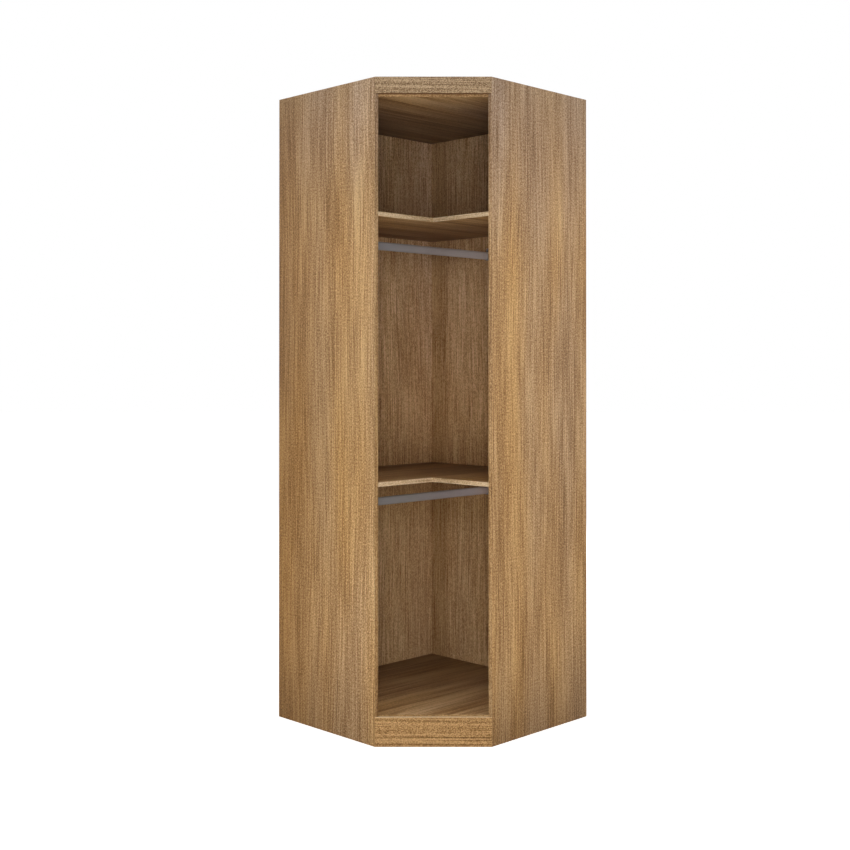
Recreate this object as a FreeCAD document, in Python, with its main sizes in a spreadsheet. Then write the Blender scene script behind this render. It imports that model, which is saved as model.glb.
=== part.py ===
import FreeCAD, Part
import math
import os
import Sketcher

# Corner wardrobe with an open diagonal front, built from flat boards.
# The boards are drawn in a corner frame: its origin is the room corner at floor level, x runs along
# the left wall, y along the right wall and z up. The front rails are drawn in a front frame: its
# origin is the left front corner, x runs along the front, y into the wardrobe and z up.
# Both frames are placed so that the open front faces -Y and the footprint's middle is the origin.

SIZES = (
    # carcass
    ("wall_length", 800),         # room corner to a side panel's outer face
    ("side_depth", 520),          # wall to the front corner of a side panel
    ("overall_height", 2270),
    ("board", 15),
    ("band", 1),                  # edge band
    ("plinth_height", 100),
    ("floor_step", 5),            # floor panel's top face above the plinth rail
    ("top_rail_height", 57),
    ("top_step", 9),              # top panel's underside below the top rail
    ("lower_shelf_level", 893),   # top faces of the shelves
    ("upper_shelf_level", 1814),
    # hanging rails and their sockets
    ("rail_offset", 330),         # rail axis from the left wall
    ("rail_drop", 62),            # shelf underside to the top of the rail
    ("tube_width", 15),
    ("tube_height", 30),
    ("tube_wall", 1.2),
    ("seat_gap", 0.3),            # tube to socket, all round
    ("end_gap", 0.8),             # tube end to socket plate
    ("socket_plate", 3),
    ("socket_wall", 2.5),
    ("socket_reach", 12),
    ("socket_grip", 22),          # cup sides above the bottom of the tube
    ("socket_screw_pitch", 28),
    # knock-down fittings
    ("drill_fit", 0.1),           # radial clearance of every drilled hole
    ("drill_end", 0.5),           # spare depth of every blind hole
    ("cam_diameter", 15),
    ("cam_web", 2.5),             # board left under a cam
    ("cam_distance", 34),         # board end to the cam's axis
    ("cam_inset", 50),            # first and last fitting from the ends of a joint
    ("cam_slot", 2),              # screwdriver slot, width and depth
    ("cam_slot_length", 9),
    ("bolt_thread", 5),
    ("bolt_shank", 7),
    ("bolt_depth", 11),           # thread into the side panel
    ("bolt_past_axis", 2),        # end of the bolt beyond the cam's axis
    ("dowel_diameter", 8),
    ("dowel_length", 30),
    ("dowel_depth", 10),          # dowel into the side panel
    ("dowel_pitch", 32),          # cam bolt to the dowel beside it
    # screws and rail blocks
    ("screw_diameter", 4),
    ("screw_head", 8),
    ("screw_head_depth", 3),
    ("screw_length", 50),
    ("screw_margin", 150),        # first and last screw from the ends of a shelf's rear edge
    ("corner_screw_margin", 80),  # first and last screw from the ends of the room corner's joint
    ("small_screw_diameter", 3.5),
    ("small_screw_head", 7),
    ("small_screw_head_depth", 1.5),
    ("small_screw_bite", 10),     # small screw into the board behind it
    ("block_width", 36),
    ("block_depth", 20),
    ("block_height", 24),
    ("block_margin", 60),         # block from the front corner of a rail
    ("block_screw_spread", 16),   # between the two screws of a block
)
REAR_EDGE_SCREWS = 2
CORNER_SCREWS = 3
FITTING_SIDES = 8
CAM_SIDES = 12
UP = FreeCAD.Vector(0, 0, 1)

document = FreeCAD.newDocument("CornerWardrobe")
sheet = document.addObject("Spreadsheet::Sheet", "Sizes")
for row, (alias, value) in enumerate(SIZES, start=1):
    sheet.set(f"A{row}", alias)
    sheet.set(f"B{row}", str(value))
    sheet.setAlias(f"B{row}", alias)
document.recompute()


class Dim:
    """A size that keeps its spreadsheet expression beside its present value."""

    def __init__(self, text, value):
        self.text = text
        self.value = value

    def _join(self, sign, other, value):
        return Dim(f"({self.text} {sign} {as_dim(other).text})", value)

    def __add__(self, other):
        return self._join("+", other, self.value + as_dim(other).value)

    def __sub__(self, other):
        return self._join("-", other, self.value - as_dim(other).value)

    def __mul__(self, other):
        return self._join("*", other, self.value * as_dim(other).value)

    def __truediv__(self, other):
        return self._join("/", other, self.value / as_dim(other).value)

    def __neg__(self):
        return as_dim(0) - self


def as_dim(value):
    return value if isinstance(value, Dim) else Dim(str(value), float(value))


def size(alias):
    return Dim(f"Sizes.{alias}", float(sheet.get(alias)))


ZERO = as_dim(0)
ROOT2 = Dim("sqrt(2)", math.sqrt(2))

wall = size("wall_length")
side = size("side_depth")
height = size("overall_height")
board = size("board")
band = size("band")
fit = size("drill_fit")
spare = size("drill_end")

# Lines of the plan: the inner faces of the sides, and where the front boards meet them.
inner = wall - board
front_width = (wall - side) * ROOT2
front_y = -(wall + side) / ROOT2 / 2
shelf_front = side - band
panel_front = side + board - board * ROOT2
panel_core_front = panel_front - band * ROOT2

# Undersides of the four boards that lie level, and which face of each hides its fittings.
plinth_top = size("plinth_height")
top_rail_bottom = height - size("top_rail_height")
floor_bottom = plinth_top + size("floor_step") - board
lower_shelf_bottom = size("lower_shelf_level") - board
upper_shelf_bottom = size("upper_shelf_level") - board
top_bottom = top_rail_bottom - size("top_step")
LEVEL_BOARDS = {
    "floor_panel": (floor_bottom, "below"),
    "lower_shelf": (lower_shelf_bottom, "below"),
    "upper_shelf": (upper_shelf_bottom, "above"),
    "top_panel": (top_bottom, "above"),
}


def spread(first, last, count):
    """Evenly spaced places from first to last."""
    return [first + (last - first) * step / (count - 1) for step in range(count)]


# Fittings along a level board's end, measured from the wall that the end starts at.
cam_rear = board + size("cam_inset")
cam_front = shelf_front - size("cam_inset")
END_CAMS = [cam_rear, cam_front]
END_DOWELS = [cam_rear + size("dowel_pitch"), cam_front - size("dowel_pitch")]
REAR_SCREWS = spread(board + size("screw_margin"), inner - size("screw_margin"), REAR_EDGE_SCREWS)
CORNER_SCREW_LEVELS = spread(
    size("corner_screw_margin"), height - size("corner_screw_margin"), CORNER_SCREWS)

cam_axis = inner - size("cam_distance")
cam_depth = board - size("cam_web")
dowel_bore = size("dowel_diameter") + fit * 2
dowel_end_bore = size("dowel_length") - size("dowel_depth") + spare
bolt_bore = size("bolt_thread") + fit * 2
cam_bore = size("cam_diameter") + fit * 2
screw_bore = size("screw_diameter") + fit * 2
screw_bite = size("screw_length") - board + spare
small_bore = size("small_screw_diameter") + fit * 2
small_bite = size("small_screw_bite") + spare

# Hanging rails: the two half-round centres of each tube's section, and its sockets' screws.
tube_radius = size("tube_width") / 2
cup_radius = tube_radius + size("seat_gap")
socket_radius = cup_radius + size("socket_wall")
RAIL_TOPS = {
    "upper": upper_shelf_bottom - size("rail_drop"),
    "lower": lower_shelf_bottom - size("rail_drop"),
}


def rail_low_centre(name):
    return RAIL_TOPS[name] - size("tube_height") + tube_radius


def socket_screws(name):
    low = rail_low_centre(name)
    return [low, low + size("socket_screw_pitch")]


def in_corner_frame(part):
    part.Placement = FreeCAD.Placement(FreeCAD.Vector(0, -front_y.value, 0), FreeCAD.Rotation(UP, -135))
    part.setExpression("Placement.Base.y", (-front_y).text)


def in_front_frame(part):
    corner = FreeCAD.Vector(-front_width.value / 2, front_y.value, 0)
    part.Placement = FreeCAD.Placement(corner, FreeCAD.Rotation())
    part.setExpression("Placement.Base.x", (-front_width / 2).text)
    part.setExpression("Placement.Base.y", front_y.text)


# Sketches and features

PLANES = {
    # direction of drilling: plane, sign of its normal, and whether a pocket on it runs backwards
    "+x": ("YZ_Plane", 1, True),
    "-x": ("YZ_Plane", 1, False),
    "+y": ("XZ_Plane", -1, False),
    "-y": ("XZ_Plane", -1, True),
    "+z": ("XY_Plane", 1, True),
    "-z": ("XY_Plane", 1, False),
}
cuts = []


def new_body(label, frame):
    body = document.addObject("PartDesign::Body", label)
    body.Label = label
    frame(body)
    return body


def new_sketch(body, name, role, offset):
    """A sketch parallel to one of the body's origin planes."""
    sketch = body.newObject("Sketcher::SketchObject", name)
    plane = next(feature for feature in body.Origin.OriginFeatures if feature.Role == role)
    sketch.AttachmentSupport = [(plane, "")]
    sketch.MapMode = "FlatFace"
    sketch.setExpression("AttachmentOffset.Base.z", offset.text)
    return sketch


def drive(sketch, constraint, length):
    index = sketch.addConstraint(constraint)
    sketch.setExpression(f"Constraints[{index}]", length.text)


def locate(sketch, geometry, point, place):
    """Hold a point at its place in the sketch, on an axis where a coordinate is zero."""
    for kind, axis, length in (("DistanceX", -2, place[0]), ("DistanceY", -1, place[1])):
        if length is ZERO:
            sketch.addConstraint(Sketcher.Constraint("PointOnObject", geometry, point, axis))
        else:
            drive(sketch, Sketcher.Constraint(kind, -1, 1, geometry, point, length.value), length)


def vector(place):
    return FreeCAD.Vector(place[0].value, place[1].value, 0)


def draw_outline(sketch, corners, arcs=None):
    """A closed outline through corners. arcs gives an edge's centre, and whether it turns left."""
    arcs = arcs or {}
    edges = []
    for index, start in enumerate(corners):
        begin = vector(start)
        end = vector(corners[(index + 1) % len(corners)])
        if index in arcs:
            centre, turns_left = arcs[index]
            if not turns_left:
                begin, end = end, begin
            middle = vector(centre)
            angles = [math.atan2(point.y - middle.y, point.x - middle.x) for point in (begin, end)]
            if angles[1] <= angles[0]:
                angles[1] += 2 * math.pi
            circle = Part.Circle(middle, UP, (begin - middle).Length)
            number = sketch.addGeometry(Part.ArcOfCircle(circle, *angles))
            edges.append((number, 1, 2) if turns_left else (number, 2, 1))
        else:
            edges.append((sketch.addGeometry(Part.LineSegment(begin, end)), 1, 2))
    for index, (number, first, last) in enumerate(edges):
        following = edges[(index + 1) % len(edges)]
        sketch.addConstraint(Sketcher.Constraint("Coincident", number, last, following[0], following[1]))
        locate(sketch, number, first, corners[index])
    for index, (centre, turns_left) in arcs.items():
        level = Sketcher.Constraint("DistanceY", -1, 1, edges[index][0], 3, centre[1].value)
        drive(sketch, level, centre[1])


def pad(body, name, sketch, length, backwards=False):
    feature = body.newObject("PartDesign::Pad", name)
    feature.Profile = sketch
    feature.Reversed = backwards
    feature.setExpression("Length", length.text)


def prism(label, frame, corners, bottom, tall):
    """A board or strip with this plan, standing on the level called bottom."""
    body = new_body(label, frame)
    sketch = new_sketch(body, "Outline", "XY_Plane", bottom)
    draw_outline(sketch, corners)
    pad(body, "Board", sketch, tall)
    return body


def even_sided(centre, diameter, sides):
    """Corners of a flat-sided round outline."""
    corners = []
    for number in range(sides):
        angle = 360 * number / sides
        across = Dim(f"cos({angle} deg)", math.cos(math.radians(angle)))
        upward = Dim(f"sin({angle} deg)", math.sin(math.radians(angle)))
        corners.append((centre[0] + diameter / 2 * across, centre[1] + diameter / 2 * upward))
    return corners


def drill(body, name, direction, start, centres, diameter, depth, sides=FITTING_SIDES):
    """Holes, flat-sided like the fittings in them, that run from the plane called start."""
    role, sign, backwards = PLANES[direction]
    sketch = new_sketch(body, name + "Places", role, start if sign > 0 else -start)
    for centre in centres:
        draw_outline(sketch, even_sided(centre, diameter, sides))
    document.recompute()
    before = body.Shape.Volume
    pocket = body.newObject("PartDesign::Pocket", name)
    pocket.Profile = sketch
    pocket.Reversed = backwards
    pocket.setExpression("Length", depth.text)
    document.recompute()
    cuts.append((f"{body.Label} {name}", before - body.Shape.Volume))


def drill_and_sink(body, name, direction, start, centres, screw, depth):
    """Holes for one kind of screw, with a step at the mouth that takes its head flush."""
    bore = size(f"{screw}_diameter") + fit * 2
    head = size(f"{screw}_head") + fit * 2
    drill(body, name, direction, start, centres, bore, depth)
    drill(body, name + "Heads", direction, start, centres, head, size(f"{screw}_head_depth"))


# Boards

def level_board(label, corners):
    """A board that lies level between the sides, drilled at both ends and along its rear edges."""
    bottom, hidden = LEVEL_BOARDS[label]
    body = prism(label, in_corner_frame, corners, bottom, board)
    middle = bottom + board / 2
    bolts = [(place, middle) for place in END_CAMS]
    dowels = [(place, middle) for place in END_DOWELS]
    screws = [(place, middle) for place in REAR_SCREWS]
    for end, rear in (("-x", "+y"), ("-y", "+x")):
        drill(body, "Bolts", end, inner, bolts, dowel_bore, size("cam_distance"))
        drill(body, "Dowels", end, inner, dowels, dowel_bore, dowel_end_bore)
        drill(body, "Screws", rear, board, screws, screw_bore, screw_bite)
    cams = [(cam_axis, place) for place in END_CAMS] + [(place, cam_axis) for place in END_CAMS]
    if hidden == "below":
        drill(body, "Cams", "+z", bottom, cams, cam_bore, cam_depth, CAM_SIDES)
    else:
        drill(body, "Cams", "-z", bottom + board, cams, cam_bore, cam_depth, CAM_SIDES)
    return body


def five_sided(front):
    """Plan of the floor and top panels, cut off by the diagonal front."""
    return [(board, board), (inner, board), (inner, front), (front, inner), (board, inner)]


def front_strip():
    """Plan of the edge band on a five-sided panel's front."""
    back = panel_core_front
    front = panel_front
    return [(inner, back), (inner, front), (front, inner), (back, inner)]


L_SHELF = [
    (board, board), (inner, board), (inner, shelf_front),
    (shelf_front, shelf_front), (shelf_front, inner), (board, inner),
]

rail_block_levels = {
    "plinth_rail": floor_bottom - size("block_height"),
    "top_rail": top_bottom + board,
}
BLOCK_STARTS = {
    "left": size("block_margin"),
    "right": front_width - size("block_margin") - size("block_width"),
}


def block_screw_places(block_start):
    """Along the front: the screw into the rail, and the screw into the panel."""
    middle = block_start + size("block_width") / 2
    return middle - size("block_screw_spread") / 2, middle + size("block_screw_spread") / 2


def to_corner_frame(along, inward):
    """A point of the front frame, as x and y of the corner frame."""
    rearward = -front_y * 2 - inward
    sideways = along - front_width / 2
    return (rearward - sideways) / ROOT2, (rearward + sideways) / ROOT2


PANEL_SCREWS = [
    to_corner_frame(block_screw_places(start)[1], board + size("block_depth") / 2)
    for start in BLOCK_STARTS.values()
]

floor_panel = level_board("floor_panel", five_sided(panel_core_front))
drill(floor_panel, "BlockScrews", "+z", floor_bottom, PANEL_SCREWS, small_bore, small_bite)
top_panel = level_board("top_panel", five_sided(panel_core_front))
drill(top_panel, "BlockScrews", "-z", top_bottom + board, PANEL_SCREWS, small_bore, small_bite)
level_board("upper_shelf", L_SHELF)
level_board("lower_shelf", L_SHELF)

# Each side panel's inner face carries the bolts and dowels of the level boards.
side_bolts = []
side_dowels = []
for bottom, _ in LEVEL_BOARDS.values():
    side_bolts += [(place, bottom + board / 2) for place in END_CAMS]
    side_dowels += [(place, bottom + board / 2) for place in END_DOWELS]
SIDE_PLANS = {
    "left_side_panel": ([(inner, ZERO), (wall, ZERO), (wall, shelf_front), (inner, shelf_front)], "+x"),
    "right_side_panel": ([(ZERO, inner), (shelf_front, inner), (shelf_front, wall), (ZERO, wall)], "+y"),
}
side_panels = {}
for label, (corners, outward) in SIDE_PLANS.items():
    panel = prism(label, in_corner_frame, corners, ZERO, height)
    drill(panel, "Bolts", outward, inner, side_bolts, bolt_bore, size("bolt_depth") + spare)
    drill(panel, "Dowels", outward, inner, side_dowels, dowel_bore, size("dowel_depth") + spare)
    side_panels[label] = panel

socket_places = [(size("rail_offset"), level) for name in RAIL_TOPS for level in socket_screws(name)]
drill(side_panels["left_side_panel"], "SocketScrews", "+x", inner, socket_places, small_bore, small_bite)


def back_panel(label, corners, inward):
    """A panel along one wall, with its screws driven from the face that the wall hides."""
    panel = prism(label, in_corner_frame, corners, ZERO, height)
    screws = [(place, bottom + board / 2) for bottom, _ in LEVEL_BOARDS.values() for place in REAR_SCREWS]
    drill_and_sink(panel, "Screws", inward, ZERO, screws, "screw", board)
    return panel


left_back = back_panel(
    "left_back_panel", [(ZERO, ZERO), (inner, ZERO), (inner, board), (ZERO, board)], "+y")
right_back = back_panel(
    "right_back_panel", [(ZERO, board), (board, board), (board, inner), (ZERO, inner)], "+x")
corner_screws = [(board / 2, level) for level in CORNER_SCREW_LEVELS]
drill_and_sink(left_back, "Corner", "+y", ZERO, corner_screws, "screw", board)
drill(right_back, "Corner", "+y", board, corner_screws, screw_bore, screw_bite)
drill(right_back, "SocketScrews", "-x", board, socket_places, small_bore, small_bite)

# Front rails with mitred ends that seat on the side panels' front edges, and their blocks
RAIL_PLAN = [(ZERO, ZERO), (front_width, ZERO), (front_width - board, board), (board, board)]
RAIL_BOARDS = {
    "plinth_rail": (ZERO, plinth_top - band),
    "top_rail": (top_rail_bottom + band, size("top_rail_height") - band),
}
for label, (bottom, tall) in RAIL_BOARDS.items():
    rail = prism(label, in_front_frame, RAIL_PLAN, bottom, tall)
    level = rail_block_levels[label] + size("block_height") / 2
    places = [(block_screw_places(start)[0], level) for start in BLOCK_STARTS.values()]
    drill(rail, "BlockScrews", "-y", board, places, small_bore, small_bite)

for rail_name, level in rail_block_levels.items():
    for hand, start in BLOCK_STARTS.items():
        far = start + size("block_width")
        rear = board + size("block_depth")
        plan = [(start, board), (far, board), (far, rear), (start, rear)]
        block = prism(f"{rail_name}_{hand}_block", in_front_frame, plan, level, size("block_height"))
        into_rail, into_panel = block_screw_places(start)
        rail_place = [(into_rail, level + size("block_height") / 2)]
        drill_and_sink(block, "RailScrew", "-y", rear, rail_place, "small_screw", size("block_depth"))
        panel_place = [(into_panel, board + size("block_depth") / 2)]
        upward = rail_name == "plinth_rail"
        mouth = level if upward else level + size("block_height")
        drill_and_sink(block, "PanelScrew", "+z" if upward else "-z", mouth, panel_place, "small_screw",
                       size("block_height"))

# Edge bands
prism("left_side_band", in_corner_frame,
      [(inner, shelf_front), (wall, shelf_front), (wall, side), (inner, side)], ZERO, height)
prism("right_side_band", in_corner_frame,
      [(shelf_front, inner), (side, inner), (side, wall), (shelf_front, wall)], ZERO, height)
prism("floor_front_band", in_corner_frame, front_strip(), floor_bottom, board)
prism("top_front_band", in_corner_frame, front_strip(), top_bottom, board)
prism("plinth_rail_band", in_front_frame, RAIL_PLAN, plinth_top - band, band)
prism("top_rail_band", in_front_frame, RAIL_PLAN, top_rail_bottom, band)
for shelf, bottom in (("upper_shelf", upper_shelf_bottom), ("lower_shelf", lower_shelf_bottom)):
    prism(f"{shelf}_left_band", in_corner_frame,
          [(side, shelf_front), (inner, shelf_front), (inner, side), (side, side)], bottom, board)
    prism(f"{shelf}_right_band", in_corner_frame,
          [(shelf_front, shelf_front), (side, shelf_front), (side, inner), (shelf_front, inner)],
          bottom, board)


# Hanging rails and their open-topped sockets

def draw_oblong(sketch, low, high, radius):
    """An upright section with half-round ends about the rail's axis."""
    middle = size("rail_offset")
    left = middle - radius
    right = middle + radius
    corners = [(left, low), (right, low), (right, high), (left, high)]
    draw_outline(sketch, corners, {0: ((middle, low), True), 2: ((middle, high), True)})


def hanging_rail(name):
    body = new_body(f"{name}_hanging_rail", in_corner_frame)
    start = board + size("socket_plate") + size("end_gap")
    sketch = new_sketch(body, "Section", "YZ_Plane", start)
    low = rail_low_centre(name)
    high = RAIL_TOPS[name] - tube_radius
    draw_oblong(sketch, low, high, tube_radius)
    draw_oblong(sketch, low, high, tube_radius - size("tube_wall"))
    pad(body, "Tube", sketch, inner - size("socket_plate") - size("end_gap") - start)


def rail_socket(label, name, face, towards_room):
    """A screwed plate with a cup that is open at the top, so that the tube lifts out of it."""
    body = new_body(label, in_corner_frame)
    low = rail_low_centre(name)
    plate = new_sketch(body, "PlateOutline", "YZ_Plane", face)
    draw_oblong(plate, low, low + size("socket_screw_pitch"), socket_radius)
    pad(body, "Plate", plate, size("socket_plate"), backwards=not towards_room)
    plate_face = face + size("socket_plate") if towards_room else face - size("socket_plate")
    cup = new_sketch(body, "CupOutline", "YZ_Plane", plate_face)
    middle = size("rail_offset")
    rim = low - tube_radius + size("socket_grip")
    corners = [
        (middle - socket_radius, low), (middle + socket_radius, low), (middle + socket_radius, rim),
        (middle + cup_radius, rim), (middle + cup_radius, low), (middle - cup_radius, low),
        (middle - cup_radius, rim), (middle - socket_radius, rim),
    ]
    draw_outline(cup, corners, {0: ((middle, low), True), 4: ((middle, low), False)})
    pad(body, "Cup", cup, size("socket_reach"), backwards=not towards_room)
    places = [(middle, level) for level in socket_screws(name)]
    direction = "-x" if towards_room else "+x"
    drill_and_sink(body, "Screws", direction, plate_face, places, "small_screw", size("socket_plate"))


for rail_name in RAIL_TOPS:
    hanging_rail(rail_name)
    rail_socket(f"{rail_name}_rail_left_socket", rail_name, inner, False)
    rail_socket(f"{rail_name}_rail_right_socket", rail_name, board, True)


# Fittings: one flat-sided shape each, repeated at the places drilled above

def stepped(steps, sides=FITTING_SIDES):
    """A solid along z from pairs of length and diameter."""
    level = 0
    lengths = []
    for length, diameter in steps:
        corners = []
        for number in range(sides + 1):
            angle = 2 * math.pi * number / sides
            corners.append(FreeCAD.Vector(
                diameter.value / 2 * math.cos(angle), diameter.value / 2 * math.sin(angle), level))
        lengths.append(Part.Face(Part.makePolygon(corners)).extrude(UP * length.value))
        level += length.value
    return lengths[0].multiFuse(lengths[1:]) if len(lengths) > 1 else lengths[0]


def cam_shape():
    """From its slotted face into the board, with its mouth towards +x for the end of the bolt."""
    radius = size("cam_diameter").value / 2
    slot = size("cam_slot").value
    slot_length = size("cam_slot_length").value
    mouth = size("bolt_shank").value + 2 * spare.value
    past_axis = size("bolt_past_axis").value + 2 * spare.value
    bolt_level = board.value / 2
    hollow = Part.makeBox(past_axis + radius, mouth, mouth,
                          FreeCAD.Vector(-past_axis, -mouth / 2, bolt_level - mouth / 2))
    groove = Part.makeBox(slot_length, slot, slot, FreeCAD.Vector(-slot_length / 2, -slot / 2, 0))
    return stepped([(cam_depth, size("cam_diameter"))], CAM_SIDES).cut(hollow).cut(groove)


def screw_shape(screw, length):
    """From the face of its head to its point."""
    head_depth = size(f"{screw}_head_depth")
    return stepped([(head_depth, size(f"{screw}_head")), (length - head_depth, size(f"{screw}_diameter"))])


X_AXIS = FreeCAD.Vector(1, 0, 0)
Y_AXIS = FreeCAD.Vector(0, 1, 0)


def standing(shape, axis, *place):
    """A copy of a shape with its own z turned to axis."""
    copy = shape.copy()
    centre = FreeCAD.Vector(*(item.value for item in place))
    copy.Placement = FreeCAD.Placement(centre, FreeCAD.Rotation(UP, axis))
    return copy


def group(label, frame, shapes):
    feature = document.addObject("Part::Feature", label)
    feature.Label = label
    feature.Shape = Part.makeCompound(shapes)
    frame(feature)


def end_fittings(shape, places, into_side):
    """Copies of a dowel or bolt in both side panels, pointing out of them."""
    start = inner + into_side
    copies = []
    for along, level in places:
        copies.append(standing(shape, -X_AXIS, start, along, level))
        copies.append(standing(shape, -Y_AXIS, along, start, level))
    return copies


def cam_at(place, face_axis, mouth_axis):
    """A cam whose slotted face looks against face_axis and whose mouth points along mouth_axis."""
    copy = cam_shape()
    turn = FreeCAD.Rotation(mouth_axis, FreeCAD.Vector(), face_axis, "ZXY")
    copy.Placement = FreeCAD.Placement(FreeCAD.Vector(*(item.value for item in place)), turn)
    return copy


dowel = stepped([(size("dowel_length"), size("dowel_diameter"))])
group("dowels", in_corner_frame, end_fittings(dowel, side_dowels, size("dowel_depth")))
shank_length = size("cam_distance") + size("bolt_past_axis")
bolt = stepped([(size("bolt_depth"), size("bolt_thread")), (shank_length, size("bolt_shank"))])
group("cam_bolts", in_corner_frame, end_fittings(bolt, side_bolts, size("bolt_depth")))

cams = []
for bottom, hidden in LEVEL_BOARDS.values():
    face = bottom if hidden == "below" else bottom + board
    into = UP if hidden == "below" else -UP
    for along in END_CAMS:
        cams.append(cam_at((cam_axis, along, face), into, X_AXIS))
        cams.append(cam_at((along, cam_axis, face), into, Y_AXIS))
group("cam_housings", in_corner_frame, cams)

long_screw = screw_shape("screw", size("screw_length"))
rear_screws = []
for bottom, _ in LEVEL_BOARDS.values():
    middle = bottom + board / 2
    for along in REAR_SCREWS:
        rear_screws.append(standing(long_screw, Y_AXIS, along, ZERO, middle))
        rear_screws.append(standing(long_screw, X_AXIS, ZERO, along, middle))
group("rear_edge_screws", in_corner_frame, rear_screws)
group("corner_screws", in_corner_frame,
      [standing(long_screw, Y_AXIS, board / 2, ZERO, level) for level in CORNER_SCREW_LEVELS])


def small_screw(through):
    """A small screw for a fitting that is as thick as through."""
    return screw_shape("small_screw", through + size("small_screw_bite"))


socket_screw = small_screw(size("socket_plate"))
group("left_socket_screws", in_corner_frame,
      [standing(socket_screw, X_AXIS, inner - size("socket_plate"), *place) for place in socket_places])
group("right_socket_screws", in_corner_frame,
      [standing(socket_screw, -X_AXIS, board + size("socket_plate"), *place) for place in socket_places])

rail_screw = small_screw(size("block_depth"))
panel_screw = small_screw(size("block_height"))
block_screws = []
for rail_name, level in rail_block_levels.items():
    upward = rail_name == "plinth_rail"
    mouth = level if upward else level + size("block_height")
    rear = board + size("block_depth")
    for start in BLOCK_STARTS.values():
        into_rail, into_panel = block_screw_places(start)
        block_screws.append(
            standing(rail_screw, -Y_AXIS, into_rail, rear, level + size("block_height") / 2))
        block_screws.append(
            standing(panel_screw, UP if upward else -UP, into_panel, board + size("block_depth") / 2, mouth))
group("block_screws", in_front_frame, block_screws)

# Checks, then one file for each piece
document.recompute()
for item in document.Objects:
    if "Invalid" in item.State or "Error" in item.State:
        raise RuntimeError(f"{item.Label} failed: {item.State}")
for name, removed in cuts:
    if removed <= 0:
        raise RuntimeError(f"{name} removed nothing")
os.makedirs("parts", exist_ok=True)
pieces = [item for item in document.Objects
          if item.TypeId in ("PartDesign::Body", "Part::Feature")]
for piece in pieces:
    if piece.Shape.isNull() or not piece.Shape.isValid():
        raise RuntimeError(f"{piece.Label} has no valid shape")
for piece in pieces:
    piece.Shape.exportStep(f"parts/{piece.Label}.step")
print(f"{len(pieces)} pieces written")
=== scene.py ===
import math

import bpy
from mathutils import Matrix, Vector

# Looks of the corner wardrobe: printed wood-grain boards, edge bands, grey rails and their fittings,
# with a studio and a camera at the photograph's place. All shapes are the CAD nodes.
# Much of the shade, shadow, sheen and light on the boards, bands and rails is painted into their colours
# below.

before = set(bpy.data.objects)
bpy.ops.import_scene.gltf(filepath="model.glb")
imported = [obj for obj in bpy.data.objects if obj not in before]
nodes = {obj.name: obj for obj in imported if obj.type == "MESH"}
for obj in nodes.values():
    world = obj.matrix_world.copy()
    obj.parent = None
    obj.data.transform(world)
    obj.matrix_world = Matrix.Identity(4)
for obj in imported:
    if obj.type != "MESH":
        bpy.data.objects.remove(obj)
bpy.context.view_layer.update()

# Directions in the frame: along the two walls from the room corner, across and out of the front, up and down
DIAGONAL = 1 / math.sqrt(2)
ALONG_LEFT = (-DIAGONAL, -DIAGONAL, 0)
ALONG_RIGHT = (DIAGONAL, -DIAGONAL, 0)
ACROSS_FRONT = (1, 0, 0)
INTO_ROOM = (0, -1, 0)
UP = (0, 0, 1)
DOWN = (0, 0, -1)

# Sockets of the nodes below: the colour mix's two colours and its result, and the map range's five numbers
MIX_FIRST = 6
MIX_SECOND = 7
MIX_RESULT = 2
RANGE_VALUE, RANGE_LOW, RANGE_HIGH, RANGE_NEW_LOW, RANGE_NEW_HIGH = range(5)


def linear(red, green, blue):
    """A colour written in screen values from 0 to 255, as the shaders take it, by the sRGB curve."""
    channels = []
    for value in (red / 255, green / 255, blue / 255):
        channels.append(value / 12.92 if value <= 0.04045 else ((value + 0.055) / 1.055) ** 2.4)
    return (*channels, 1)


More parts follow.
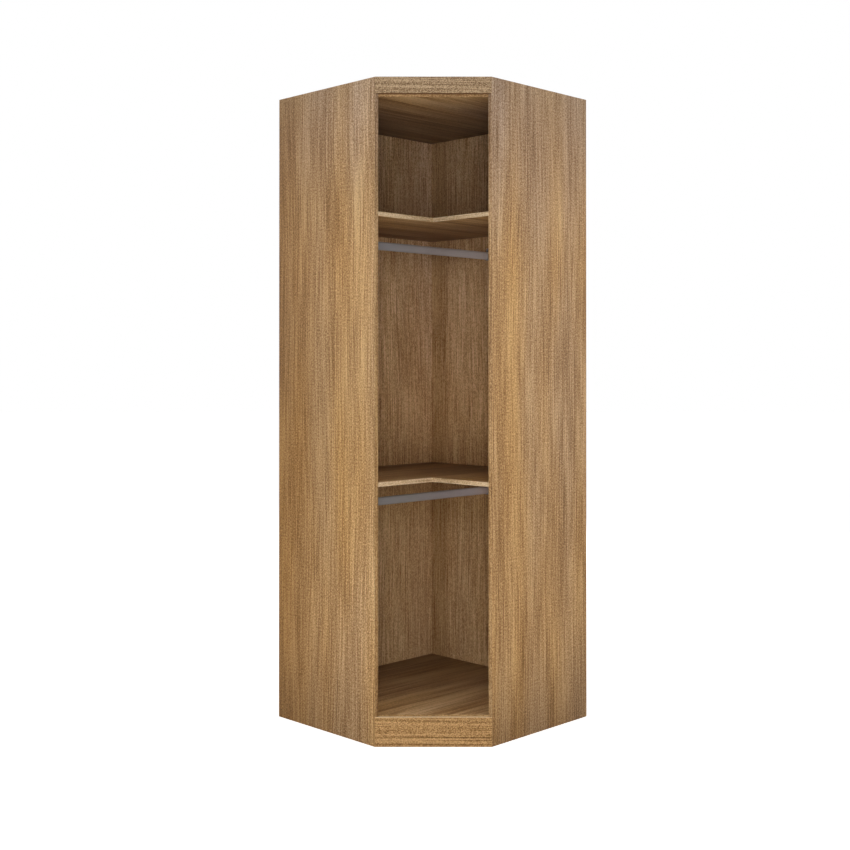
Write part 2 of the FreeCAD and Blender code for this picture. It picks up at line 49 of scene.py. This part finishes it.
class Graph:
    """One material's node tree, with short calls for the nodes used below."""

    def __init__(self, name):
        self.material = bpy.data.materials.new(name)
        self.material.use_nodes = True
        self.tree = self.material.node_tree
        self.shader = self.tree.nodes["Principled BSDF"]

    def add(self, kind, **settings):
        node = self.tree.nodes.new(kind)
        for name, value in settings.items():
            setattr(node, name, value)
        return node

    def feed(self, socket, value):
        """Link an output to a socket, or set the socket to a plain value."""
        if isinstance(value, bpy.types.NodeSocket):
            self.tree.links.new(value, socket)
        else:
            socket.default_value = value

    def spot(self, kind):
        """Object place or Normal at the shaded point: as in the frame at rest, and moving with the piece."""
        return self.add("ShaderNodeTexCoord").outputs[kind]

    def math(self, operation, first, second=0.0):
        node = self.add("ShaderNodeMath", operation=operation)
        self.feed(node.inputs[0], first)
        self.feed(node.inputs[1], second)
        return node.outputs[0]

    def vector(self, operation, first, second, output="Vector"):
        node = self.add("ShaderNodeVectorMath", operation=operation)
        self.feed(node.inputs[0], first)
        self.feed(node.inputs[1], second)
        return node.outputs[output]

    def along(self, place, direction):
        """How far a place or a normal goes in a direction."""
        return self.vector("DOT_PRODUCT", place, direction, "Value")

    def noise(self, place, scales, detail=1, roughness=0.5):
        node = self.add("ShaderNodeTexNoise")
        self.feed(node.inputs["Vector"], self.vector("MULTIPLY", place, scales))
        node.inputs["Scale"].default_value = 1.0
        node.inputs["Detail"].default_value = detail
        node.inputs["Roughness"].default_value = roughness
        return node.outputs[0]

    def span(self, value, low, high, new_low=0.0, new_high=1.0):
        """value from low to high, stretched to a new range and held inside it."""
        node = self.add("ShaderNodeMapRange")
        self.feed(node.inputs[RANGE_VALUE], value)
        self.feed(node.inputs[RANGE_LOW], low)
        self.feed(node.inputs[RANGE_HIGH], high)
        self.feed(node.inputs[RANGE_NEW_LOW], new_low)
        self.feed(node.inputs[RANGE_NEW_HIGH], new_high)
        return node.outputs[0]

    def ramp(self, value, places, colours):
        """The colour at a value, between colours at rising places."""
        node = self.add("ShaderNodeValToRGB")
        elements = node.color_ramp.elements
        while len(elements) < len(places):
            elements.new(1.0)
        for element, place, colour in zip(elements, places, colours):
            element.position = place
            element.color = colour
        self.feed(node.inputs[0], value)
        return node.outputs[0]

    def mix(self, factor, first, second, blend="MIX"):
        node = self.add("ShaderNodeMix", data_type="RGBA", blend_type=blend)
        self.feed(node.inputs[0], factor)
        self.feed(node.inputs[MIX_FIRST], first)
        self.feed(node.inputs[MIX_SECOND], second)
        return node.outputs[MIX_RESULT]

    def bump(self, height, strength, distance):
        node = self.add("ShaderNodeBump")
        node.inputs["Strength"].default_value = strength
        node.inputs["Distance"].default_value = distance
        self.feed(node.inputs["Height"], height)
        self.feed(self.shader.inputs["Normal"], node.outputs[0])

    def finish(self, colour, roughness, metallic=0.0, specular=0.5):
        self.feed(self.shader.inputs["Base Color"], colour)
        self.feed(self.shader.inputs["Roughness"], roughness)
        self.shader.inputs["Metallic"].default_value = metallic
        self.shader.inputs["Specular IOR Level"].default_value = specular
        return self.material


# Values of a noise between which most of it lies: for ramps of colour, and for roughness
COLOUR_NOISE = (0.35, 0.65)
ROUGH_NOISE = (0.3, 0.7)

# Raw particle board: scales for each metre and shares of flakes and dust, and its tones and their places
FLAKE_SCALES = (330, 330, 700)
FLAKE_SHARE = 0.75
DUST_SCALES = (900, 900, 900)
DUST_SHARE = 0.3
CHIP_PLACES = (0.10, 0.45, 0.95)
CHIP_TONES = ((112, 84, 54), (158, 126, 86), (198, 168, 122))


def chipboard(graph, place):
    """Colour of a raw particle-board edge."""
    flakes = graph.add("ShaderNodeTexVoronoi")
    graph.feed(flakes.inputs["Vector"], graph.vector("MULTIPLY", place, FLAKE_SCALES))
    flakes.inputs["Scale"].default_value = 1.0
    shade = graph.math("MULTIPLY", flakes.outputs["Color"], FLAKE_SHARE)
    dust = graph.math("MULTIPLY", graph.noise(place, DUST_SCALES, detail=3), DUST_SHARE)
    return graph.ramp(graph.math("ADD", shade, dust), CHIP_PLACES, [linear(*tone) for tone in CHIP_TONES])


# Wood: scales of the layers of its grain across, along and through a board, for each metre
SWAY_SCALES = (3, 1.1, 3)
BAND_SCALES = (15, 1.8, 4)
STRIPE_SCALES = (60, 1.6, 15)
CLUSTER_SCALES = (9, 0.7, 3)
LINE_SCALES = (320, 2.5, 60)
PORE_SCALES = (1100, 55, 300)
TINT_SCALES = (6, 0.8, 3)
# Values of a noise between which a line, a pore or a cluster of lines comes up, and the shares of the lines
# that show outside a cluster and inside it
LINE_NOISE = (0.56, 0.68)
PORE_NOISE = (0.56, 0.70)
CLUSTER_NOISE = (0.40, 0.60)
CLUSTER_SHARES = (0.3, 1.0)
# How far the grain sways, in metres, and how far one board's grain lies from the next one's
SWAY_WIDTH = 0.05
GRAIN_SHIFT = (3.7, 5.3, 2.9)
# Grain of the tones that have their own, and of all others: scales of the fine lines and of the flecks,
# and the weights of bands, stripes, fine lines, flecks and dark lines
OWN_GRAIN = {
    "wall": ((280, 4.5, 60), (300, 160, 170), (0.13, 0.04, 0.66, 0.62, -0.12)),
    "level": ((300, 4, 60), (250, 160, 170), (0.40, 0.34, 0.50, 0.50, -0.14)),
    "plinth": ((260, 1.5, 60), (330, 260, 170), (0.10, 0.04, 0.85, 1.05, -0.06)),
    "top": ((260, 1.5, 60), (330, 260, 170), (0.10, 0.04, 0.65, 1.05, -0.06)),
}
GRAIN = ((230, 4, 60), (250, 160, 170), (0.25, 0.06, 0.52, 0.74, -0.14))
FINE_DETAIL = {"detail": 2, "roughness": 0.6}
# What the layers without the dark lines add up to on average, and the sums at which a tone's colours lie
GRAIN_MIDDLE = 0.695
TONE_PLACES = (0.46, 0.61, 0.675, 0.835)
WOOD_TONES = {
    # dark line, shade, body, light
    "board": ((114, 77, 39), (152, 112, 67), (173, 132, 84), (212, 173, 121)),
    # wall: a lighter copy of the board print, painted light on the back panels
    "wall": ((126, 89, 55), (166, 128, 88), (190, 153, 110), (229, 196, 153)),
    # top and plinth: darker copies of the board print, painted shade on the front rails; top is also greyer,
    # a painted sheen
    "top": ((97, 71, 47), (139, 110, 77), (160, 130, 96), (203, 175, 139)),
    "plinth": ((100, 66, 29), (144, 104, 55), (168, 125, 73), (210, 168, 111)),
    # edge: a darker copy of the right band's plain, painted shade on the left side panel's front band
    "edge": ((105, 70, 36), (140, 104, 62), (159, 122, 78), (195, 159, 111)),
    "plain": ((115, 79, 42), (154, 115, 71), (175, 135, 88), (214, 176, 125)),
    "pale": ((166, 133, 94), (196, 163, 122), (212, 182, 142), (231, 205, 167)),
    # soft: a darker copy of the pale band print, painted shade on the upper shelf's bands
    "soft": ((157, 125, 88), (185, 154, 115), (200, 171, 133), (217, 193, 157)),
    # lip: near white, a painted highlight along the plinth's top edge
    "lip": ((182, 145, 101), (214, 178, 131), (232, 198, 151), (251, 223, 177)),
    # step: a darker copy of the print, painted shade in the gap above the plinth
    "step": ((90, 63, 30), (129, 98, 55), (151, 118, 73), (188, 157, 109)),
    # dark: painted shade on the top rail's underside band
    "dark": ((73, 44, 17), (91, 57, 23), (104, 67, 27), (129, 87, 40)),
}
WOOD_TONES["level"] = WOOD_TONES["board"]
# Tints of broad streaks, and how much of the way from one to the other a tone uses
GOLDEN = (1.03, 0.99, 0.85, 1)
ROSY = (0.965, 1.01, 1.16, 1)
TINT_REACH = {"board": 1.0, "level": 0.6}
OTHER_TINT_REACH = 0.2
# The pores' colour and strength, the fine lines' share of the relief, and the gloss
PORE_COLOUR = (92, 62, 35)
PORE_STRENGTH = 0.28
FINE_RELIEF = 0.5
WOOD_BUMP = {"strength": 0.25, "distance": 0.0004}
WOOD_ROUGHNESS = (0.46, 0.60)
WOOD_SPECULAR = 0.3
# A face belongs to a side when its normal goes this far towards it, and to a raw edge when it goes less far
# than this through the board
SIDE_LIMIT = 0.5
EDGE_LIMIT = 0.6


def grain_place(graph, along, across, depth, seed):
    """Metres across, along and through a board, shifted so that each board has its own grain."""
    place = graph.spot("Object")
    joined = graph.add("ShaderNodeCombineXYZ")
    for index, direction in enumerate((across, along, depth)):
        graph.feed(joined.inputs[index], graph.along(place, direction))
    return graph.vector("ADD", joined.outputs[0], tuple(step * seed for step in GRAIN_SHIFT))


def washed(graph, colour, node, direction, side, tones):
    """The colour times tones at shares of a node's reach in a direction, on one side of it or all over:
    painted shade and light, with one dark band of print.
    """
    reach = [Vector(direction).dot(corner.co) for corner in nodes[node].data.vertices]
    share = graph.span(graph.along(graph.spot("Object"), direction), min(reach), max(reach))
    places, factors = zip(*tones)
    wash = graph.ramp(share, places, [(*factor, 1) for factor in factors])
    strength = 1.0
    if side:
        strength = graph.math("GREATER_THAN", graph.along(graph.spot("Normal"), side), SIDE_LIMIT)
    return graph.mix(strength, colour, wash, "MULTIPLY")


def wood(name, along, across, depth, seed, tone, washes, raw_edges):
    """Printed straight-grain wood: bands, stripes, fine lines, flecks, thin dark lines and short pores."""
    graph = Graph(name)
    place = grain_place(graph, along, across, depth, seed)
    sway = graph.add("ShaderNodeCombineXYZ")
    graph.feed(sway.inputs[0], graph.math("MULTIPLY", graph.noise(place, SWAY_SCALES), SWAY_WIDTH))
    grain = graph.vector("ADD", place, sway.outputs[0])
    fine_scales, fleck_scales, weights = OWN_GRAIN.get(tone, GRAIN)
    bands = graph.noise(grain, BAND_SCALES)
    stripes = graph.noise(grain, STRIPE_SCALES)
    fine = graph.noise(grain, fine_scales, **FINE_DETAIL)
    flecks = graph.noise(grain, fleck_scales, **FINE_DETAIL)
    clusters = graph.span(graph.noise(grain, CLUSTER_SCALES), *CLUSTER_NOISE, *CLUSTER_SHARES)
    lines = graph.math("MULTIPLY", graph.span(graph.noise(grain, LINE_SCALES), *LINE_NOISE), clusters)
    pores = graph.span(graph.noise(grain, PORE_SCALES), *PORE_NOISE)

    total = GRAIN_MIDDLE - sum(weights[:-1]) / 2
    for layer, weight in zip((bands, stripes, fine, flecks, lines), weights):
        total = graph.math("ADD", total, graph.math("MULTIPLY", layer, weight))
    colour = graph.ramp(total, TONE_PLACES, [linear(*shade) for shade in WOOD_TONES[tone]])
    tint_side = TINT_REACH.get(tone, OTHER_TINT_REACH) / 2
    streaks = graph.span(graph.noise(place, TINT_SCALES), *COLOUR_NOISE, 0.5 - tint_side, 0.5 + tint_side)
    colour = graph.mix(1.0, colour, graph.mix(streaks, GOLDEN, ROSY), "MULTIPLY")
    colour = graph.mix(graph.math("MULTIPLY", pores, PORE_STRENGTH), colour, linear(*PORE_COLOUR))
    # Painted shade and light over the board, from its washes
    for wash in washes:
        colour = washed(graph, colour, name, *wash)
    if raw_edges:
        through = graph.math("ABSOLUTE", graph.along(graph.spot("Normal"), depth))
        edge = graph.math("LESS_THAN", through, EDGE_LIMIT)
        colour = graph.mix(edge, colour, chipboard(graph, place))

    graph.bump(graph.math("SUBTRACT", graph.math("MULTIPLY", fine, FINE_RELIEF), pores), **WOOD_BUMP)
    return graph.finish(colour, graph.span(flecks, *ROUGH_NOISE, *WOOD_ROUGHNESS), specular=WOOD_SPECULAR)


def around(colour, change):
    """A colour's darker and lighter neighbour."""
    return [linear(*(value + step for value in colour)) for step in (-change, change)]


# Metal: the change of a place's run along a piece, which draws the lines out, scales and shares of lines and
# clouds, and the change of colour and roughness that they bring
DRAWN_OUT = -0.995
METAL_LINE_SCALES = (2600, 2600, 2600)
METAL_CLOUD_SCALES = (9, 9, 9)
METAL_LINE_SHARE = 0.6
METAL_CLOUD_SHARE = 0.4
METAL_CHANGE = 8
METAL_ROUGHER = 0.05
METAL_BUMP = {"strength": 0.08, "distance": 0.0001}


def brushed(name, along, colour, roughness, metallic, wash=None):
    """Metal with fine lines along a piece, and painted light along it where a wash is given."""
    graph = Graph(name)
    place = graph.spot("Object")
    back = graph.add("ShaderNodeVectorMath", operation="SCALE")
    back.inputs[0].default_value = along
    graph.feed(back.inputs["Scale"], graph.math("MULTIPLY", graph.along(place, along), DRAWN_OUT))
    lines = graph.noise(graph.vector("ADD", place, back.outputs[0]), METAL_LINE_SCALES, detail=2)
    cloud = graph.noise(place, METAL_CLOUD_SCALES, detail=2)
    line_part = graph.math("MULTIPLY", lines, METAL_LINE_SHARE)
    cloud_part = graph.math("MULTIPLY", cloud, METAL_CLOUD_SHARE)
    shade = graph.ramp(graph.math("ADD", line_part, cloud_part), COLOUR_NOISE, around(colour, METAL_CHANGE))
    # Painted light along the rail, from its wash
    if wash:
        shade = washed(graph, shade, *wash)
    graph.bump(lines, **METAL_BUMP)
    rough = graph.span(lines, *ROUGH_NOISE, roughness - METAL_ROUGHER, roughness + METAL_ROUGHER)
    return graph.finish(shade, rough, metallic)


# Plastic: scales of its grain and clouds, and the change of colour and roughness that they bring
PLASTIC_GRAIN_SCALES = (1800, 1800, 1800)
PLASTIC_CLOUD_SCALES = (60, 60, 60)
PLASTIC_CHANGE = 6
PLASTIC_ROUGHER = 0.06
PLASTIC_BUMP = {"strength": 0.2, "distance": 0.0001}


def moulded(name, colour, roughness):
    """Plastic with a fine moulded grain."""
    graph = Graph(name)
    place = graph.spot("Object")
    grain = graph.noise(place, PLASTIC_GRAIN_SCALES, detail=2)
    cloud = graph.noise(place, PLASTIC_CLOUD_SCALES, detail=2)
    graph.bump(grain, **PLASTIC_BUMP)
    rough = graph.span(grain, *ROUGH_NOISE, roughness - PLASTIC_ROUGHER, roughness + PLASTIC_ROUGHER)
    return graph.finish(graph.ramp(cloud, COLOUR_NOISE, around(colour, PLASTIC_CHANGE)), rough)


BEECH_SCALES = (700, 700, 700)
BEECH_TONES = ((186, 146, 98), (216, 182, 134))
BEECH_ROUGHNESS = 0.7
BEECH_BUMP = {"strength": 0.2, "distance": 0.0002}


def beech(name):
    """Raw turned beech with small flecks."""
    graph = Graph(name)
    flecks = graph.noise(graph.spot("Object"), BEECH_SCALES, detail=3)
    graph.bump(flecks, **BEECH_BUMP)
    colour = graph.ramp(flecks, COLOUR_NOISE, [linear(*tone) for tone in BEECH_TONES])
    return graph.finish(colour, BEECH_ROUGHNESS)


def paint(node, material):
    """Give a CAD node one material."""
    slots = nodes[node].data.materials
    slots.clear()
    slots.append(material)


# Each board and band: directions along its grain, across it and through its thickness, and its tone
BOARDS = {
    "left_side_panel": (UP, ALONG_RIGHT, ALONG_LEFT, "board"),
    "right_side_panel": (UP, ALONG_LEFT, ALONG_RIGHT, "board"),
    "left_back_panel": (UP, ALONG_LEFT, ALONG_RIGHT, "wall"),
    "right_back_panel": (UP, ALONG_RIGHT, ALONG_LEFT, "wall"),
    "floor_panel": (ALONG_LEFT, ALONG_RIGHT, UP, "level"),
    "top_panel": (ALONG_LEFT, ALONG_RIGHT, UP, "level"),
    "upper_shelf": (ALONG_LEFT, ALONG_RIGHT, UP, "level"),
    "lower_shelf": (ALONG_LEFT, ALONG_RIGHT, UP, "level"),
    "plinth_rail": (ACROSS_FRONT, UP, INTO_ROOM, "plinth"),
    "top_rail": (ACROSS_FRONT, UP, INTO_ROOM, "top"),
}
BANDS = {
    "left_side_band": (UP, ALONG_LEFT, ALONG_RIGHT, "edge"),
    "right_side_band": (UP, ALONG_RIGHT, ALONG_LEFT, "plain"),
    # The plinth's top band takes a painted highlight
    "plinth_rail_band": (ACROSS_FRONT, INTO_ROOM, UP, "lip"),
    # The top rail's underside band is painted dark, as shade
    "top_rail_band": (ACROSS_FRONT, INTO_ROOM, UP, "dark"),
    # The floor's front band is painted dark, as shade
    "floor_front_band": (ACROSS_FRONT, UP, INTO_ROOM, "step"),
    "top_front_band": (ACROSS_FRONT, UP, INTO_ROOM, "plain"),
    "upper_shelf_left_band": (ALONG_LEFT, UP, ALONG_RIGHT, "soft"),
    "upper_shelf_right_band": (ALONG_RIGHT, UP, ALONG_LEFT, "soft"),
    "lower_shelf_left_band": (ALONG_LEFT, UP, ALONG_RIGHT, "pale"),
    "lower_shelf_right_band": (ALONG_RIGHT, UP, ALONG_LEFT, "pale"),
}
FIRST_BOARD_SEED = 1
FIRST_BAND_SEED = 20
# Broad changes of tone over a piece, nearly all painted shade, shadow, sheen and light: factors of red,
# green and blue at shares of its reach in a direction
# Side panels across their width: the left one darker and warmer towards the wall, painted shade, and lighter
# and bluer towards the front, painted light and sheen; the right one a little bluer towards the wall and
# lighter towards the front, painted light
FROM_LEFT_WALL = ((0.0, (0.70, 0.62, 0.48)), (0.5, (0.965, 0.945, 0.89)), (1.0, (1.18, 1.23, 1.31)))
FROM_RIGHT_WALL = ((0.0, (1.0, 1.03, 1.14)), (1.0, (1.04, 1.03, 0.98)))
# Side panels and their bands by height: painted shade near the floor, painted light and shade in bands up
# the middle, and a painted bluish sheen at the top
UP_LEFT_SIDE = (
    (0.0, (0.86, 0.86, 0.86)), (0.12, (1.06, 1.06, 1.05)), (0.24, (1.13, 1.15, 1.15)),
    (0.40, (1.02, 1.02, 0.98)), (0.50, (0.92, 0.91, 0.87)), (0.62, (0.94, 0.94, 0.93)),
    (0.72, (1, 1, 1)), (0.83, (0.94, 0.97, 1.05)), (0.94, (0.97, 1.07, 1.48)),
    (1.0, (0.95, 1.09, 1.60)))
UP_RIGHT_SIDE = (
    (0.0, (0.69, 0.68, 0.69)), (0.13, (0.98, 0.98, 0.98)), (0.24, (1, 1, 1)),
    (0.72, (1, 1, 1)), (0.94, (0.90, 0.99, 1.38)), (1.0, (0.88, 1.0, 1.46)))
# Back panels' inner faces by height: painted shadows in a band below each shelf, painted shade and light
# between them, lighter and bluer at the top
UP_WALL = (
    (0.08, (0.93, 0.92, 0.90)), (0.27, (0.95, 0.92, 0.86)), (0.325, (0.78, 0.72, 0.60)),
    (0.40, (0.90, 0.84, 0.76)), (0.45, (1.04, 1.0, 0.94)), (0.68, (1.06, 1.07, 1.12)),
    (0.75, (1.0, 1.01, 1.06)), (0.85, (0.76, 0.73, 0.74)), (0.95, (1.14, 1.18, 1.26)))
# Back panels' inner faces along the walls: painted light towards the opening's edges; the right one's dark
# band near the corner is a band of the print
ALONG_LEFT_WALL = (
    (0.10, (1.0, 1.0, 1.04)), (0.15, (0.98, 0.97, 0.99)), (0.25, (1, 1, 1)),
    (0.36, (1.07, 1.07, 1.05)))
ALONG_RIGHT_WALL = (
    (0.0, (0.73, 0.69, 0.61)), (0.10, (0.77, 0.73, 0.66)), (0.13, (0.96, 0.94, 0.92)),
    (0.20, (1, 1, 1)), (0.36, (1.06, 1.05, 1.03)))
# Level boards from the back corner to the front, and the top's underside: painted shade towards the corner,
# painted light, bluer, towards the front
OVER_FLOOR = (
    (0.0, (0.45, 0.43, 0.44)), (0.19, (0.52, 0.54, 0.55)), (0.56, (0.79, 0.81, 0.96)),
    (0.84, (1.27, 1.31, 1.44)), (1.0, (1.32, 1.37, 1.46)))
OVER_UPPER_SHELF = (
    (0.0, (0.43, 0.42, 0.47)), (0.43, (0.59, 0.57, 0.62)), (0.70, (0.99, 0.99, 0.99)),
    (0.90, (1.25, 1.25, 1.20)))
OVER_LOWER_SHELF = (
    (0.0, (0.43, 0.43, 0.48)), (0.43, (0.58, 0.58, 0.63)), (0.70, (0.95, 0.95, 0.96)),
    (0.90, (1.16, 1.16, 1.13)))
UNDER_TOP = (
    (0.0, (0.60, 0.68, 0.92)), (0.27, (0.68, 0.76, 1.04)), (0.65, (0.86, 0.87, 1.08)),
    (1.0, (1.24, 1.24, 1.22)))
# Top panel's underside across the front: painted shade towards both side panels
ACROSS_TOP = (
    (0.30, (0.70, 0.70, 0.80)), (0.43, (0.97, 0.97, 0.98)), (0.57, (0.97, 0.97, 0.98)),
    (0.68, (0.70, 0.70, 0.76)))
# Hanging rails along their length: painted light, up to more than twice as bright, at the end deep in the
# corner's shade
ALONG_UPPER_RAIL = (
    (0.0, (2.3, 2.3, 2.1)), (0.14, (1.8, 1.74, 1.58)), (0.35, (1.34, 1.27, 1.15)),
    (0.60, (1.10, 1.13, 1.07)), (1.0, (1.0, 1.08, 1.10)))
ALONG_LOWER_RAIL = (
    (0.0, (2.3, 2.0, 1.7)), (0.12, (1.74, 1.64, 1.48)), (0.30, (1.37, 1.26, 1.14)),
    (0.55, (1.12, 1.11, 0.98)), (0.70, (0.96, 0.98, 0.90)))
PAINTED_SHADE_AND_GRAIN_WASHES = {
    # direction, the side that takes the wash or None for all sides, and the factors
    "left_side_panel": ((ALONG_RIGHT, None, FROM_LEFT_WALL), (UP, None, UP_LEFT_SIDE)),
    "right_side_panel": ((ALONG_LEFT, None, FROM_RIGHT_WALL), (UP, None, UP_RIGHT_SIDE)),
    "left_side_band": ((UP, None, UP_LEFT_SIDE),),
    "right_side_band": ((UP, None, UP_RIGHT_SIDE),),
    "left_back_panel": ((ALONG_LEFT, ALONG_RIGHT, ALONG_LEFT_WALL), (UP, ALONG_RIGHT, UP_WALL)),
    "right_back_panel": ((ALONG_RIGHT, ALONG_LEFT, ALONG_RIGHT_WALL), (UP, ALONG_LEFT, UP_WALL)),
    "floor_panel": ((INTO_ROOM, UP, OVER_FLOOR),),
    "top_panel": ((INTO_ROOM, DOWN, UNDER_TOP), (ACROSS_FRONT, DOWN, ACROSS_TOP)),
    "upper_shelf": ((INTO_ROOM, None, OVER_UPPER_SHELF),),
    "lower_shelf": ((INTO_ROOM, None, OVER_LOWER_SHELF),),
}
RAIL_PAINTED_LIGHT = {"upper_hanging_rail": ALONG_UPPER_RAIL, "lower_hanging_rail": ALONG_LOWER_RAIL}
RAIL_GREY = (164, 160, 165)

for first_seed, raw_edges, pieces in ((FIRST_BOARD_SEED, True, BOARDS), (FIRST_BAND_SEED, False, BANDS)):
    for seed, (node, (along, across, depth, tone)) in enumerate(pieces.items(), start=first_seed):
        paint(node, wood(node, along, across, depth, seed, tone, PAINTED_SHADE_AND_GRAIN_WASHES.get(node, ()), raw_edges))
# Each rail's metal takes its painted light
for node, factors in RAIL_PAINTED_LIGHT.items():
    rail_painted_light = (node, ALONG_LEFT, None, factors)
    metal = brushed(f"{node}_metal", ALONG_LEFT, RAIL_GREY, roughness=0.45, metallic=0.2, wash=rail_painted_light)
    paint(node, metal)

zinc = brushed("zinc", UP, (150, 148, 142), roughness=0.40, metallic=0.9)
screw_steel = brushed("screw_steel", UP, (112, 108, 100), roughness=0.40, metallic=0.9)
socket_plastic = moulded("socket_plastic", (146, 143, 146), roughness=0.5)
block_plastic = moulded("block_plastic", (86, 62, 42), roughness=0.6)
for hand in ("left", "right"):
    for level in ("upper", "lower"):
        paint(f"{level}_rail_{hand}_socket", socket_plastic)
    for rail in ("plinth_rail", "top_rail"):
        paint(f"{rail}_{hand}_block", block_plastic)
    paint(f"{hand}_socket_screws", screw_steel)
for fitting in ("cam_bolts", "rear_edge_screws", "corner_screws", "block_screws"):
    paint(fitting, screw_steel)
paint("cam_housings", zinc)
paint("dowels", beech("dowel_beech"))


# Studio: a pale floor, an even white surround and soft lamps in front, at the sides and behind
FLOOR_SPAN = 60.0
# Greys of the floor for the light on the object and for the camera, and the glow that makes it white there
FLOOR_GREY = (0.7, 0.7, 0.7, 1)
FLOOR_SEEN_GREY = (0.9, 0.9, 0.9, 1)
FLOOR_GLOW = 0.65
# Strength of the surround as light on the object, and where it is seen
SURROUND = 0.4
SURROUND_SEEN = 1.0


def pale_floor():
    """White to the camera, with the object's shadow left on it."""
    graph = Graph("pale_floor")
    links = graph.tree.links
    plain = graph.add("ShaderNodeBsdfDiffuse")
    plain.inputs["Color"].default_value = FLOOR_GREY
    shaded = graph.add("ShaderNodeBsdfDiffuse")
    shaded.inputs["Color"].default_value = FLOOR_SEEN_GREY
    glow = graph.add("ShaderNodeEmission")
    glow.inputs["Strength"].default_value = FLOOR_GLOW
    seen = graph.add("ShaderNodeAddShader")
    links.new(shaded.outputs[0], seen.inputs[0])
    links.new(glow.outputs[0], seen.inputs[1])
    choice = graph.add("ShaderNodeMixShader")
    links.new(graph.add("ShaderNodeLightPath").outputs["Is Camera Ray"], choice.inputs[0])
    links.new(plain.outputs[0], choice.inputs[1])
    links.new(seen.outputs[0], choice.inputs[2])
    links.new(choice.outputs[0], graph.tree.nodes["Material Output"].inputs["Surface"])
    return graph.material


def white_surround():
    """A world that is white to the camera, in gloss and through glass, and a weaker light on all else."""
    world = bpy.data.worlds.new("surround")
    world.use_nodes = True
    tree = world.node_tree
    background = tree.nodes["Background"]
    background.inputs["Color"].default_value = (1, 1, 1, 1)
    rays = tree.nodes.new("ShaderNodeLightPath")
    seen = rays.outputs["Is Camera Ray"]
    for kind in ("Is Glossy Ray", "Is Transmission Ray"):
        either = tree.nodes.new("ShaderNodeMath")
        either.operation = "MAXIMUM"
        tree.links.new(seen, either.inputs[0])
        tree.links.new(rays.outputs[kind], either.inputs[1])
        seen = either.outputs[0]
    strength = tree.nodes.new("ShaderNodeMapRange")
    tree.links.new(seen, strength.inputs[RANGE_VALUE])
    strength.inputs[RANGE_NEW_LOW].default_value = SURROUND
    strength.inputs[RANGE_NEW_HIGH].default_value = SURROUND_SEEN
    tree.links.new(strength.outputs[0], background.inputs["Strength"])
    return world


bpy.ops.mesh.primitive_plane_add(size=FLOOR_SPAN)
floor = bpy.context.object
floor.name = "studio_floor"
floor.data.materials.append(pale_floor())
bpy.context.scene.world = white_surround()

LAMPS = {
    # watts, width, height, spread in degrees, place and the point that it faces
    "front_lamp": (2.1, 2.4, 2.2, 12, (0, -4.5, 1.13), (0, 0, 1.13)),
    "camera_lamp": (22, 0.4, 0.4, 180, (-0.03, -4.6, 1.3), (0, 0, 1.1)),
    "low_lamp": (8.3, 0.5, 0.5, 180, (0, -2.2, 0.6), (0, 0, 1.2)),
    "high_lamp": (6, 1.4, 1.0, 180, (0, -1.6, 4.0), (0, -0.4, 0.8)),
    "left_lamp": (8.6, 0.8, 0.8, 180, (-1.9, -1.1, 1.7), (-0.5, -0.35, 1.4)),
    "right_lamp": (8.6, 0.8, 0.8, 180, (1.9, -1.1, 1.7), (0.5, -0.35, 1.4)),
    "rear_lamp": (90, 2.0, 2.0, 180, (2.2, 4.6, 2.6), (0, 0.4, 1.1)),
}
for name, (watts, width, height, spread, place, target) in LAMPS.items():
    lamp = bpy.data.lights.new(name, "AREA")
    lamp.energy = watts
    lamp.shape = "RECTANGLE"
    lamp.size = width
    lamp.size_y = height
    lamp.spread = math.radians(spread)
    lamp_object = bpy.data.objects.new(name, lamp)
    lamp_object.location = place
    lamp_object.rotation_euler = (Vector(target) - Vector(place)).to_track_quat("-Z", "Y").to_euler()
    lamp_object.visible_camera = False
    bpy.context.collection.objects.link(lamp_object)

# Camera, from the perspective of the photograph's edges: millimetres, metres, and its tilt up in radians
SENSOR_WIDTH = 36
LENS = 52.52
CAMERA_PLACE = (-0.0284, -4.667, 1.2878)
CAMERA_TILT = 0.0055
# The photograph's upright edges are parallel, and its middle lies below the camera's height
CAMERA_SHIFT = -0.0772
camera = bpy.data.cameras.new("camera")
camera.sensor_width = SENSOR_WIDTH
camera.lens = LENS
camera.shift_y = CAMERA_SHIFT
camera_object = bpy.data.objects.new("camera", camera)
camera_object.location = CAMERA_PLACE
camera_object.rotation_euler = (math.pi / 2 + CAMERA_TILT, 0, 0)
bpy.context.collection.objects.link(camera_object)
bpy.context.scene.camera = camera_object
bpy.context.scene.view_settings.view_transform = "Standard"
